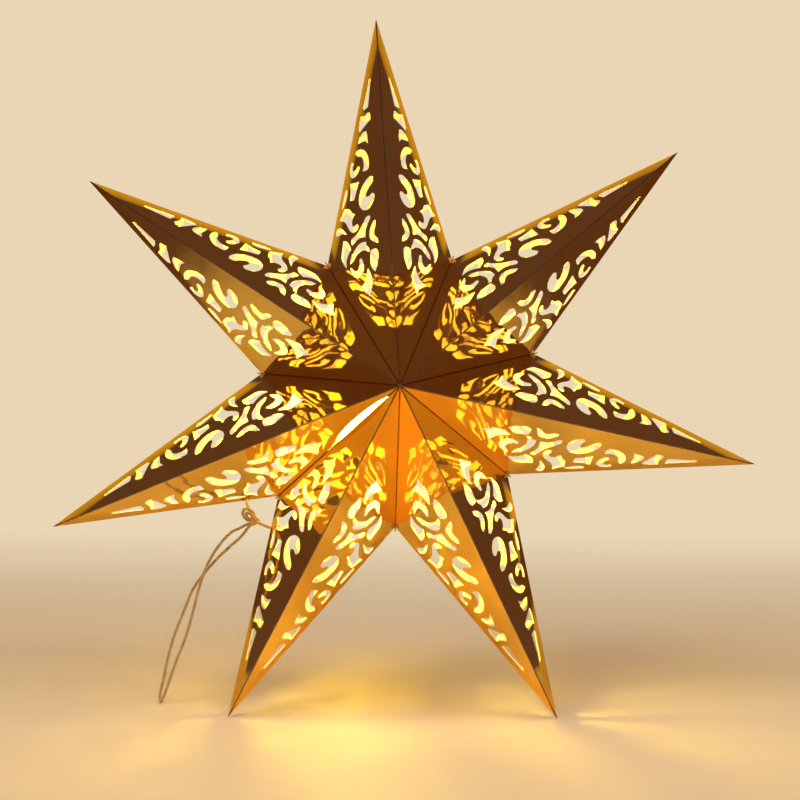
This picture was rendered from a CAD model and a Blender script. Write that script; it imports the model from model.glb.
from math import atan2, cos, pi, radians, sin, tan

import bmesh
import bpy
from mathutils import Matrix, Vector


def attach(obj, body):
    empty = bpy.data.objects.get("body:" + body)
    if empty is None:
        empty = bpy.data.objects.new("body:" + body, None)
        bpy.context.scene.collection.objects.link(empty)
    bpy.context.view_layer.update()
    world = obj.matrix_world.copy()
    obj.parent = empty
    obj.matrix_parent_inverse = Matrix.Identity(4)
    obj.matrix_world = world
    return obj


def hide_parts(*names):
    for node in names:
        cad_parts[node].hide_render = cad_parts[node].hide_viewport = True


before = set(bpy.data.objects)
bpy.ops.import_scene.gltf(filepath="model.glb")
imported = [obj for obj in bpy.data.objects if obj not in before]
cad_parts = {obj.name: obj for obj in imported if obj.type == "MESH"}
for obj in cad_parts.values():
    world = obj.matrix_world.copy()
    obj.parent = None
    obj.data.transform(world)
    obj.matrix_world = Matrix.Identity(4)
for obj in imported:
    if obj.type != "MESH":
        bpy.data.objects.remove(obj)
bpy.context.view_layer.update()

# Seven-pointed star lantern, folded from mirror-foil card and lit by a small bulb inside.
# Everything is in metres: +Z up, the front of the star towards -Y.

# Sizes of the star, as the cards were folded
MM = 0.001
POINT_REACH = 0.308
VALLEY_REACH = 0.1185
APEX_RISE = 0.126
TURNS = [-3.9, 49.4, 101.4, 153.5, 206.5, 247.3, 303.2]
POINTS = len(TURNS)
# The card that stands off from its lower neighbour at the open seam
OPEN_CARD = 6
MIDDLE = Vector((-0.00889, 0, 0.27564))
EVEN_GAP = pi / POINTS
TIP_HALF = atan2(VALLEY_REACH * sin(EVEN_GAP), POINT_REACH - VALLEY_REACH * cos(EVEN_GAP))
SIDE_RISE = POINT_REACH * tan(TIP_HALF)

# Twine: three plies, each this share of its radius, wound a little past its nominal size
TWINE_D = 0.0026
TWINE_PITCH = 9 * MM
PLIES = 3
PLY_SIDES = 8
PLY_SHARE = 0.58
PLY_SWELL = 1.08
KNOT_AT = Vector((-0.1271, 0.0100, 0.1622))


# Camera at the photograph's place

LENS_MM, SENSOR_MM = 54, 36
CAMERA_AT = Vector((-0.027965, -1.001942, 0.263466))
CAMERA_RIGHT = Vector((0.9996957, -0.0218149, 0.0115162))
CAMERA_UP = Vector((-0.0115532, -0.0015704, 0.999932))


def add_camera():
    """Looks level at the front of the star, from about a metre away."""
    data = bpy.data.cameras.new("camera")
    data.lens = LENS_MM
    data.sensor_width = SENSOR_MM
    camera = bpy.data.objects.new("camera", data)
    bpy.context.scene.collection.objects.link(camera)
    back = CAMERA_RIGHT.cross(CAMERA_UP).normalized()
    columns = (CAMERA_RIGHT, CAMERA_UP, back, CAMERA_AT)
    camera.matrix_world = Matrix([[column[i] for column in columns] for i in range(3)]
                                 + [[0, 0, 0, 1]])
    bpy.context.scene.camera = camera


add_camera()


# Small helpers

def linear(hex_colour):
    """sRGB hex to the linear RGBA that a shader takes."""
    values = [int(hex_colour[i:i + 2], 16) / 255 for i in (1, 3, 5)]
    return [v / 12.92 if v <= 0.04045 else ((v + 0.055) / 1.055) ** 2.4 for v in values] + [1]


def only(piece):
    """Selects one piece alone and makes it active."""
    bpy.ops.object.select_all(action="DESELECT")
    piece.select_set(True)
    bpy.context.view_layer.objects.active = piece


def link(name, mesh):
    """A new piece of the object, with its finish from the record's slot."""
    piece = bpy.data.objects.new(name, mesh)
    bpy.context.scene.collection.objects.link(piece)
    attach(piece, "root")
    return piece


def new_material(name):
    """Starts a material and returns it with its Principled BSDF."""
    material = bpy.data.materials.new(name)
    material.use_nodes = True
    return material, material.node_tree.nodes["Principled BSDF"]


def add_node(material, kind, settings=(), inputs=(), links=()):
    """Adds a node with its settings, its input values and its links from other sockets."""
    node = material.node_tree.nodes.new(kind)
    for key, value in dict(settings).items():
        setattr(node, key, value)
    for key, value in dict(inputs).items():
        node.inputs[key].default_value = value
    for key, socket in dict(links).items():
        material.node_tree.links.new(socket, node.inputs[key])
    return node


def add_ramp(material, source, stops):
    """A colour ramp through (place, colour) stops."""
    node = add_node(material, "ShaderNodeValToRGB", links={"Fac": source})
    ramp = node.color_ramp
    while len(ramp.elements) < len(stops):
        ramp.elements.new(0.5)
    for element, (place, colour) in zip(ramp.elements, stops):
        element.position = place
        element.color = colour
    return node


# Materials

# Emission strength of the opal glass
BULB_GLOW = 200
# Where the worn line and the valley's dark line fade out, and how wide the bow is, in mm
WORN_LINE = (0.7, 1.3)
VALLEY_LINE = (0.2, 0.9)
BOW_WIDTH = 13


def foil_card():
    """Card laminated with bronze mirror film: it reflects like a slightly wavy mirror."""
    material, shader = new_material("mirror_film_laminated_card")
    shader.inputs["Metallic"].default_value = 1
    shader.inputs["Specular Tint"].default_value = linear("#F6C880")
    coords = add_node(material, "ShaderNodeTexCoord").outputs["Object"]

    # The film is worn to a matt grey line along the scored long fold, and dark in the valley
    fold = add_node(material, "ShaderNodeAttribute", {"attribute_name": "from_long_fold"})
    valley = add_node(material, "ShaderNodeAttribute", {"attribute_name": "from_valley"})
    side = add_node(material, "ShaderNodeAttribute", {"attribute_name": "from_side_fold"})
    worn = add_node(material, "ShaderNodeMapRange", {"interpolation_type": "SMOOTHSTEP"},
                    {"From Min": WORN_LINE[0], "From Max": WORN_LINE[1], "To Min": 1, "To Max": 0},
                    {0: fold.outputs["Fac"]})
    shut = add_node(material, "ShaderNodeMapRange", {"interpolation_type": "SMOOTHSTEP"},
                    {"From Min": VALLEY_LINE[0], "From Max": VALLEY_LINE[1],
                     "To Min": 1, "To Max": 0},
                    {0: valley.outputs["Fac"]})
    tone = add_node(material, "ShaderNodeTexNoise", inputs={"Scale": 1 / (60 * MM), "Detail": 2},
                    links={"Vector": coords})
    film = add_ramp(material, tone.outputs["Fac"],
                    [(0.3, linear("#F0C75C")), (0.7, linear("#F9D168"))])
    with_fold = add_node(material, "ShaderNodeMix", {"data_type": "RGBA"}, {7: linear("#6E5A48")},
                         {0: worn.outputs[0], 6: film.outputs[0]})
    with_valley = add_node(material, "ShaderNodeMix", {"data_type": "RGBA"},
                           {7: linear("#B07A38")}, {0: shut.outputs[0], 6: with_fold.outputs[2]})
    material.node_tree.links.new(with_valley.outputs[2], shader.inputs["Base Color"])

    haze = add_node(material, "ShaderNodeTexNoise", inputs={"Scale": 1 / (25 * MM), "Detail": 3},
                    links={"Vector": coords})
    gloss = add_node(material, "ShaderNodeMapRange", inputs={"To Min": 0.02, "To Max": 0.06},
                     links={0: haze.outputs["Fac"]})
    matt = add_node(material, "ShaderNodeMath", {"operation": "MULTIPLY_ADD"}, {1: 0.45},
                    {0: worn.outputs[0], 2: gloss.outputs[0]})
    material.node_tree.links.new(matt.outputs[0], shader.inputs["Roughness"])
    # A clear lacquer over the film gives the mirror its faint untinted haze
    shader.inputs["Coat Weight"].default_value = 0.6
    shader.inputs["Coat Roughness"].default_value = 0.35
    shader.inputs["Coat IOR"].default_value = 1.5

    # The sheet turns away over the bow's width before its side folds, and is wavy elsewhere
    bow = add_node(material, "ShaderNodeMapRange", {"clamp": True},
                   {"From Min": 0, "From Max": BOW_WIDTH, "To Min": 1, "To Max": 0},
                   {0: side.outputs["Fac"]})
    bow_height = add_node(material, "ShaderNodeMath", {"operation": "POWER"}, {1: 1.4},
                          {0: bow.outputs[0]})
    held = add_node(material, "ShaderNodeMapRange", {"interpolation_type": "SMOOTHSTEP"},
                    {"From Min": 1, "From Max": 12}, {0: valley.outputs["Fac"]})
    bow_height = add_node(material, "ShaderNodeMath", {"operation": "MULTIPLY"},
                          links={0: bow_height.outputs[0], 1: held.outputs[0]})
    bowed = add_node(material, "ShaderNodeBump", {"invert": True},
                     {"Strength": 1, "Distance": 2.2 * MM}, {"Height": bow_height.outputs[0]})
    waves = add_node(material, "ShaderNodeTexNoise", inputs={"Scale": 1 / (45 * MM), "Detail": 1},
                     links={"Vector": coords})
    wavy = add_node(material, "ShaderNodeBump", inputs={"Strength": 1, "Distance": 0.8 * MM},
                    links={"Height": waves.outputs["Fac"], "Normal": bowed.outputs[0]})
    ripples = add_node(material, "ShaderNodeTexNoise", inputs={"Scale": 1 / (11 * MM), "Detail": 1},
                       links={"Vector": coords})
    rippled = add_node(material, "ShaderNodeBump", inputs={"Strength": 1, "Distance": 0.07 * MM},
                       links={"Height": ripples.outputs["Fac"], "Normal": wavy.outputs[0]})
    material.node_tree.links.new(rippled.outputs[0], shader.inputs["Normal"])
    return material


def white_card():
    """The card's unlaminated back: matt white paper that spreads the bulb's light."""
    material, shader = new_material("uncoated_white_card")
    coords = add_node(material, "ShaderNodeTexCoord").outputs["Object"]
    fibres = add_node(material, "ShaderNodeTexNoise", inputs={"Scale": 1 / (1.5 * MM), "Detail": 4},
                      links={"Vector": coords})
    paper = add_ramp(material, fibres.outputs["Fac"],
                     [(0.3, linear("#EDE6DA")), (0.7, linear("#F7F2E8"))])
    material.node_tree.links.new(paper.outputs[0], shader.inputs["Base Color"])
    shader.inputs["Roughness"].default_value = 0.85
    shader.inputs["Specular IOR Level"].default_value = 0.3
    return material


def cut_edge():
    """Laser-cut edge of the card: board browned by the beam."""
    material, shader = new_material("laser_cut_card_edge")
    coords = add_node(material, "ShaderNodeTexCoord").outputs["Object"]
    scorch = add_node(material, "ShaderNodeTexNoise", inputs={"Scale": 1 / (4 * MM), "Detail": 2},
                      links={"Vector": coords})
    brown = add_ramp(material, scorch.outputs["Fac"],
                     [(0.35, linear("#5A3618")), (0.65, linear("#8A5828"))])
    material.node_tree.links.new(brown.outputs[0], shader.inputs["Base Color"])
    shader.inputs["Roughness"].default_value = 0.8
    return material


def twine_fibre():
    """Three-ply jute twine: dull tan with lighter and darker fibres along each ply."""
    material, shader = new_material("twisted_jute_twine")
    along = add_node(material, "ShaderNodeUVMap", {"uv_map": "along_ply"})
    scale = add_node(material, "ShaderNodeMapping", inputs={"Scale": (1 / (6 * MM), 6, 1)},
                     links={"Vector": along.outputs[0]})
    fibres = add_node(material, "ShaderNodeTexNoise", inputs={"Scale": 1, "Detail": 4},
                      links={"Vector": scale.outputs[0]})
    tan_tone = add_ramp(material, fibres.outputs["Fac"],
                        [(0.3, linear("#8E7146")), (0.5, linear("#B99A68")),
                         (0.72, linear("#D8C196"))])
    material.node_tree.links.new(tan_tone.outputs[0], shader.inputs["Base Color"])
    fuzz = add_node(material, "ShaderNodeBump", inputs={"Strength": 0.7, "Distance": 0.15 * MM},
                    links={"Height": fibres.outputs["Fac"]})
    material.node_tree.links.new(fuzz.outputs[0], shader.inputs["Normal"])
    shader.inputs["Roughness"].default_value = 0.9
    shader.inputs["Sheen Weight"].default_value = 0.3
    return material


def lit_bulb():
    """Opal glass lit from inside by a warm lamp: an even glow with no visible filament."""
    material, shader = new_material("opal_glass_lit")
    shader.inputs["Base Color"].default_value = linear("#FFE9C4")
    shader.inputs["Roughness"].default_value = 0.25
    shader.inputs["Emission Color"].default_value = linear("#FFDD46")
    shader.inputs["Emission Strength"].default_value = BULB_GLOW
    return material


def holder_plastic():
    """Moulded off-white thermoplastic with a faint moulding texture."""
    material, shader = new_material("moulded_white_thermoplastic")
    coords = add_node(material, "ShaderNodeTexCoord").outputs["Object"]
    grain = add_node(material, "ShaderNodeTexNoise", inputs={"Scale": 1 / (0.8 * MM), "Detail": 2},
                     links={"Vector": coords})
    tone = add_ramp(material, grain.outputs["Fac"],
                    [(0.3, linear("#E2DACA")), (0.7, linear("#EDE7DA"))])
    bump = add_node(material, "ShaderNodeBump", inputs={"Strength": 0.3, "Distance": 0.05 * MM},
                    links={"Height": grain.outputs["Fac"]})
    material.node_tree.links.new(tone.outputs[0], shader.inputs["Base Color"])
    material.node_tree.links.new(bump.outputs[0], shader.inputs["Normal"])
    shader.inputs["Roughness"].default_value = 0.45
    return material


FOIL = foil_card()
PAPER = white_card()
EDGE = cut_edge()
TWINE = twine_fibre()
GLASS = lit_bulb()
PLASTIC = holder_plastic()


# Twine

def smooth_route(points, step):
    """Points about a step apart on a smooth curve through the given ones."""
    points = [Vector(p) for p in points]
    last = len(points) - 1
    route = []
    for i in range(last):
        a, b = points[i], points[i + 1]
        leave = (b - points[max(i - 1, 0)]) / (1 if i == 0 else 2)
        arrive = (points[min(i + 2, last)] - a) / (1 if i == last - 1 else 2)
        count = max(2, round((b - a).length / step))
        for s in range(count):
            t = s / count
            route.append(a * (2 * t**3 - 3 * t**2 + 1) + leave * (t**3 - 2 * t**2 + t)
                         + b * (3 * t**2 - 2 * t**3) + arrive * (t**3 - t**2))
    return route + [points[last]]


def twisted_twine(name, points):
    """Three plies wound round each other along a route, as one mesh."""
    route = smooth_route(points, TWINE_PITCH / 10)
    ply_r = TWINE_D / 2 * PLY_SHARE
    wound_r = TWINE_D / 2 * PLY_SWELL - ply_r
    bm = bmesh.new()
    uv = bm.loops.layers.uv.new("along_ply")
    for ply in range(PLIES):
        rings, places = [], []
        normal = Vector((0, 1, 0))
        travelled = 0
        for i, point in enumerate(route):
            way = (route[min(i + 1, len(route) - 1)] - route[max(i - 1, 0)]).normalized()
            normal = (normal - way * normal.dot(way)).normalized()
            across = way.cross(normal)
            travelled += (point - route[max(i - 1, 0)]).length
            turn = 2 * pi * (travelled / TWINE_PITCH + ply / PLIES)
            centre = point + (normal * cos(turn) + across * sin(turn)) * wound_r
            ring = [bm.verts.new(centre + (normal * cos(a) + across * sin(a)) * ply_r)
                    for a in (turn + 2 * pi * j / PLY_SIDES for j in range(PLY_SIDES))]
            rings.append(ring)
            places.append(travelled)
        for i in range(len(rings) - 1):
            for j in range(PLY_SIDES):
                k = (j + 1) % PLY_SIDES
                face = bm.faces.new((rings[i][j], rings[i][k], rings[i + 1][k], rings[i + 1][j]))
                face.smooth = True
                corners = ((places[i], j), (places[i], j + 1), (places[i + 1], j + 1),
                           (places[i + 1], j))
                for loop, (x, y) in zip(face.loops, corners):
                    loop[uv].uv = (x, y / PLY_SIDES)
        bm.faces.new(reversed(rings[0]))
        bm.faces.new(rings[-1])
    bmesh.ops.recalc_face_normals(bm, faces=bm.faces)
    mesh = bpy.data.meshes.new(name)
    bm.to_mesh(mesh)
    bm.free()
    mesh.materials.append(TWINE)
    return link(name, mesh)


# Loop for hanging, from the main knot: left and back from it, and height above the table
LOOP_ROUTE = [
    (-0.0025, -0.0015, 0.159), (-0.0065, -0.0015, 0.157), (-0.012, -0.001, 0.154),
    (-0.021, 0.0005, 0.149), (-0.032, 0.003, 0.136), (-0.040, 0.006, 0.122),
    (-0.044, 0.0085, 0.112), (-0.048, 0.0115, 0.100), (-0.054, 0.017, 0.078),
    (-0.060, 0.021, 0.058), (-0.068, 0.025, 0.038), (-0.075, 0.028, 0.018),
    (-0.079, 0.0295, 0.007), (-0.082, 0.0325, 0.001), (-0.0835, 0.0365, 0.0002),
    (-0.0845, 0.040, 0.0025), (-0.084, 0.041, 0.008), (-0.081, 0.038, 0.020),
    (-0.077, 0.034, 0.038), (-0.071, 0.030, 0.058), (-0.063, 0.025, 0.078),
    (-0.054, 0.020, 0.099), (-0.045, 0.0155, 0.112), (-0.035, 0.012, 0.124),
    (-0.025, 0.008, 0.134), (-0.012, 0.004, 0.146), (-0.006, 0.0025, 0.1535),
    (-0.002, 0.0015, 0.158),
]
# The main knot's height in that route, and the step between the loop's points
DRAWN_KNOT_RISE = 0.160
LOOP_STEP = 4 * MM
# The short ties end at their knots on the backs of the two cards beside the seam
LOWER_TIE_END = Vector((-0.1077, 0.0183, 0.1543))
UPPER_TIE_END = Vector((-0.1365, 0.0183, 0.1851))
# They start inside the main knot, this far from its middle
TIE_START = 2.5 * MM


def hung(place):
    """A point of the loop's route, from the knot and the table."""
    lift = (KNOT_AT.z - TWINE_D / 2) / DRAWN_KNOT_RISE
    return Vector((KNOT_AT.x + place[0], KNOT_AT.y + place[1], TWINE_D / 2 + place[2] * lift))


def tie_route(end, bend):
    """From inside the main knot to a card's tie knot, slightly slack."""
    way = end - KNOT_AT
    return [KNOT_AT + TIE_START * way.normalized(), KNOT_AT + way / 3 + Vector(bend),
            KNOT_AT + way * 2 / 3 + Vector(bend), end]


def hanging_loop():
    route = smooth_route([hung(place) for place in LOOP_ROUTE], LOOP_STEP)
    loop = twisted_twine("hanging_loop_twine", route)
    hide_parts("hanging_cord")


def short_ties():
    lower = twisted_twine("lower_tie_twine", tie_route(LOWER_TIE_END, (0, 0.0005, -0.001)))
    upper = twisted_twine("upper_tie_twine", tie_route(UPPER_TIE_END, (-0.001, 0.0005, 0)))
    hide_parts("lower_tie_cord")
    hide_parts("upper_tie_cord")


hanging_loop()
short_ties()


def overhand(centre, radius, lean):
    """Route of an overhand knot pulled tight round a centre."""
    turned = Matrix.Rotation(lean, 3, "Y")
    count = 36
    points = []
    for i in range(count + 1):
        t = 2 * pi * i / count
        x = sin(t) + 2 * sin(2 * t)
        y = cos(t) - 2 * cos(2 * t)
        points.append(centre + turned @ (Vector((x, -1.5 * sin(3 * t), y)) * radius / 3))
    return points


MAIN_KNOT_R, MAIN_KNOT_LEAN = 3.1 * MM, 0.4
TIE_KNOT_R, TIE_KNOT_LEAN = 2.3 * MM, 1.2
# The bow's two turns beside the main knot, in mm: reach, width and shift to the back
BOW_TURNS = ((6, 4, 0), (4.2, 2.0, -1.6))
# Each turn starts here and sweeps so far, in degrees
BOW_START, BOW_SWEEP, BOW_STEPS = -28, 236, 24


def main_knot():
    """The knot, with the small bow that stands out beside it."""
    knot = twisted_twine("main_knot_twine", overhand(KNOT_AT, MAIN_KNOT_R, MAIN_KNOT_LEAN))
    out = Vector((-0.7, 0.1, 0.7)).normalized()
    side = Vector((0.7, 0.15, 0.7)).normalized()
    bow = [KNOT_AT + Vector((MM, MM, MM))]
    for reach, wide, back in BOW_TURNS:
        centre = KNOT_AT + out * (reach + 1) * MM + Vector((0, back, 0)) * MM
        for i in range(BOW_STEPS + 1):
            turn = radians(BOW_START + BOW_SWEEP * i / BOW_STEPS)
            bow.append(centre + (out * sin(turn) * reach + side * cos(turn) * wide) * MM)
    bow.append(KNOT_AT + Vector((-MM, -MM, 0)))
    ring = twisted_twine("bow_twine", bow)
    only(knot)
    ring.select_set(True)
    bpy.ops.object.join()
    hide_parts("main_knot")


def tie_knots():
    for name, end in (("lower_tie_knot", LOWER_TIE_END), ("upper_tie_knot", UPPER_TIE_END)):
        route = overhand(end, TIE_KNOT_R, TIE_KNOT_LEAN)
        knot = twisted_twine(name + "_twine", route)
        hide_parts(name)


main_knot()
tie_knots()


# Folded cards

def card_frame(turn):
    """Axes of one card: along its point, to its left seen from the front, and to the front."""
    turn = radians(turn)
    along = Vector((sin(turn), 0, cos(turn)))
    left = Vector((-cos(turn), 0, sin(turn)))
    return along, left, Vector((0, -1, 0))


# Faces this near a valley's plane and parallel to it belong to a flap, or to the lip that
# stands further off where the seam is open, no further out than the seam's reach
FLAP_ZONE = 0.7 * MM
LIP_ZONE = 6 * MM
SEAM_REACH = 0.12
FACET_NORMAL = Vector((1 / POINT_REACH, 1 / SIDE_RISE, 1 / APEX_RISE)).normalized()
# Cosines from which a face counts as lying in its facet's plane, or in the valley's
IN_FACET = 0.999
IN_VALLEY = 0.95
# Places of the three finishes in a card's mesh
FILM_FACE, PAPER_FACE, CUT_FACE = 0, 1, 2
SLIVER = 0.001 * MM


def half_gap(k):
    """Half the turn from one point to the next, in radians."""
    step = TURNS[k % POINTS] - TURNS[k - 1]
    return radians(step + (360 if k == POINTS else 0)) / 2


def half_gap_before(k):
    return half_gap(k - 1 if k > 1 else POINTS)


def in_card(place, axes):
    """A place in a card's own axes, folded over onto its front left facet."""
    p = place - MIDDLE
    return Vector((p.dot(axes[0]), abs(p.dot(axes[1])), abs(p.dot(axes[2]))))


def distance_to_line(p, a, b):
    way = (b - a).normalized()
    return ((p - a) - way * (p - a).dot(way)).length


def foil_point(k):
    """One card: mirror film outside, white paper inside, scorched edges at every cut."""
    name = f"point_{k}"
    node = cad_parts[name]
    mesh = node.data.copy()
    mesh.materials.clear()
    for material in (FOIL, PAPER, EDGE):
        mesh.materials.append(material)
    card = link(f"folded_card_{k}", mesh)
    axes = card_frame(TURNS[k - 1])
    gaps = (half_gap_before(k), half_gap(k))

    bm = bmesh.new()
    bm.from_mesh(mesh)
    bmesh.ops.remove_doubles(bm, verts=bm.verts, dist=SLIVER)
    bmesh.ops.dissolve_degenerate(bm, edges=bm.edges, dist=SLIVER)
    layers = [bm.verts.layers.float.new(n)
              for n in ("from_long_fold", "from_side_fold", "from_valley")]
    tip, apex, side = (Vector((POINT_REACH, 0, 0)), Vector((0, 0, APEX_RISE)),
                       Vector((0, SIDE_RISE, 0)))
    for face in bm.faces:
        normal = Vector([face.normal.dot(axis) for axis in axes])
        folded = Vector((normal.x, abs(normal.y), abs(normal.z)))
        inward = Vector((-normal.x, folded.y, folded.z))
        centre = face.calc_center_median() - MIDDLE
        outward = normal.y * centre.dot(axes[1]) + normal.z * centre.dot(axes[2]) > 0
        left = centre.dot(axes[1]) > 0
        gap = gaps[0] if left else gaps[1]
        along, across = centre.dot(axes[0]), abs(centre.dot(axes[1]))
        at_lip = k == OPEN_CARD and left and along < SEAM_REACH
        off_valley = abs(along * sin(gap) - across * cos(gap))
        to_neighbour = (normal.y if left else -normal.y) * cos(gap) - normal.x * sin(gap)
        zone = LIP_ZONE if at_lip else FLAP_ZONE
        if off_valley < zone and abs(to_neighbour) > IN_VALLEY:
            # Film faces the neighbour and paper faces the card's own inside
            face.material_index = FILM_FACE if to_neighbour > 0 else PAPER_FACE
        elif folded.dot(FACET_NORMAL) > IN_FACET and normal.x > 0 and outward:
            face.material_index = FILM_FACE
        elif inward.dot(FACET_NORMAL) > IN_FACET and not outward:
            face.material_index = PAPER_FACE
        else:
            face.material_index = CUT_FACE
        face.smooth = False
    for vert in bm.verts:
        raw = vert.co - MIDDLE
        gap = gaps[0] if raw.dot(axes[1]) > 0 else gaps[1]
        p = in_card(vert.co, axes)
        vert[layers[0]] = distance_to_line(p, apex, tip) / MM
        vert[layers[1]] = distance_to_line(p, tip, side) / MM
        vert[layers[2]] = abs(p.x * sin(gap) - p.y * cos(gap)) / MM
    bm.to_mesh(mesh)
    bm.free()
    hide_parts(name)


for k in range(1, POINTS + 1):
    foil_point(k)


# Lamp

def dress(name, material):
    """A CAD node that keeps its shape gets its finish."""
    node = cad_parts[name]
    node.data.materials.clear()
    node.data.materials.append(material)
    for polygon in node.data.polygons:
        polygon.material_index = 0


dress("bulb", GLASS)
dress("lamp_holder", PLASTIC)


# Floor, world and lamps

PALE = linear("#EAD6B4")
DIM = linear("#5E4038")
FLOOR_SIZE = 40
# In the camera's view the floor goes over into the background this far behind the star, out
# to this slope aside of a camera that stands a metre before it
FADE_BEHIND = (0.2, 1.5)
FADE_SLOPE = (0.4, 0.8)
CAMERA_BEFORE = 1
# In the mirror film the floor dims this far aside
DIM_ASIDE = (0.6, 0.9)
LAMP_SIZE = 2.8
LAMP_COLOUR = linear("#FFF8EE")[:3]


def studio_floor():
    """Wide pale floor that goes over into the background far behind the star."""
    bpy.ops.object.select_all(action="DESELECT")
    bpy.ops.mesh.primitive_plane_add(size=FLOOR_SIZE, location=(0, 0, 0))
    floor = bpy.context.active_object
    floor.name = "studio_floor"
    material, shader = new_material("matt_pale_floor")
    shader.inputs["Base Color"].default_value = PALE
    shader.inputs["Roughness"].default_value = 0.7
    coords = add_node(material, "ShaderNodeTexCoord").outputs["Object"]
    split = add_node(material, "ShaderNodeSeparateXYZ", links={0: coords})
    behind = add_node(material, "ShaderNodeMapRange", {"interpolation_type": "SMOOTHSTEP"},
                      {"From Min": FADE_BEHIND[0], "From Max": FADE_BEHIND[1]},
                      {0: split.outputs["Y"]})
    aside = add_node(material, "ShaderNodeMath", {"operation": "ABSOLUTE"},
                     links={0: split.outputs["X"]})
    from_camera = add_node(material, "ShaderNodeMath", {"operation": "ADD"}, {1: CAMERA_BEFORE},
                           {0: split.outputs["Y"]})
    spread = add_node(material, "ShaderNodeMath", {"operation": "DIVIDE"},
                      links={0: aside.outputs[0], 1: from_camera.outputs[0]})
    in_view = add_node(material, "ShaderNodeMapRange", {"interpolation_type": "SMOOTHSTEP"},
                       {"From Min": FADE_SLOPE[0], "From Max": FADE_SLOPE[1],
                        "To Min": 1, "To Max": 0},
                       {0: spread.outputs[0]})
    far = add_node(material, "ShaderNodeMath", {"operation": "MULTIPLY"},
                   links={0: behind.outputs[0], 1: in_view.outputs[0]})
    path = add_node(material, "ShaderNodeLightPath")
    mirrored = add_node(material, "ShaderNodeMath", {"operation": "ADD"},
                        links={0: path.outputs["Is Glossy Ray"],
                               1: path.outputs["Is Transmission Ray"]})
    seen = add_node(material, "ShaderNodeMath", {"operation": "ADD", "use_clamp": True},
                    links={0: path.outputs["Is Camera Ray"], 1: mirrored.outputs[0]})
    share = add_node(material, "ShaderNodeMath", {"operation": "MULTIPLY"},
                     links={0: far.outputs[0], 1: seen.outputs[0]})
    backdrop = add_node(material, "ShaderNodeEmission", inputs={"Color": PALE, "Strength": 1})
    mix = add_node(material, "ShaderNodeMixShader",
                   links={0: share.outputs[0], 1: shader.outputs[0], 2: backdrop.outputs[0]})
    # In the mirror film, the floor far aside is as dim as the studio
    off_set = add_node(material, "ShaderNodeMapRange", {"interpolation_type": "SMOOTHSTEP"},
                       {"From Min": DIM_ASIDE[0], "From Max": DIM_ASIDE[1]},
                       {0: aside.outputs[0]})
    dimmed = add_node(material, "ShaderNodeMath", {"operation": "MULTIPLY"},
                      links={0: off_set.outputs[0], 1: path.outputs["Is Glossy Ray"]})
    studio = add_node(material, "ShaderNodeEmission", inputs={"Color": DIM, "Strength": 1})
    mix = add_node(material, "ShaderNodeMixShader",
                   links={0: dimmed.outputs[0], 1: mix.outputs[0], 2: studio.outputs[0]})
    output = material.node_tree.nodes["Material Output"]
    material.node_tree.links.new(mix.outputs[0], output.inputs["Surface"])
    floor.data.materials.append(material)


def studio_world():
    """Pale behind and before the star, and a dim studio at its sides and overhead."""
    world = bpy.data.worlds.new("studio_world")
    bpy.context.scene.world = world
    world.use_nodes = True
    coords = add_node(world, "ShaderNodeTexCoord").outputs["Generated"]
    split = add_node(world, "ShaderNodeSeparateXYZ", links={0: coords})
    depth = add_node(world, "ShaderNodeMath", {"operation": "ABSOLUTE"},
                     links={0: split.outputs["Y"]})
    colour = add_ramp(world, depth.outputs[0],
                      [(0.0, DIM), (0.6, DIM), (0.86, PALE)])
    background = world.node_tree.nodes["Background"]
    world.node_tree.links.new(colour.outputs[0], background.inputs["Color"])
    background.inputs["Strength"].default_value = 1


def area_lamp(name, place, power):
    """Soft square lamp aimed at the middle of the star."""
    data = bpy.data.lights.new(name, "AREA")
    data.shape = "SQUARE"
    data.size = LAMP_SIZE
    data.energy = power
    data.color = LAMP_COLOUR
    lamp = bpy.data.objects.new(name, data)
    bpy.context.scene.collection.objects.link(lamp)
    lamp.location = place
    lamp.rotation_euler = (MIDDLE - Vector(place)).to_track_quat("-Z", "Y").to_euler()


studio_floor()
studio_world()
area_lamp("key_lamp", (-2.4, -2.8, 4.2), 150)
area_lamp("fill_lamp", (2.8, -2.2, 3.4), 80)

bpy.context.scene.view_settings.view_transform = "Standard"
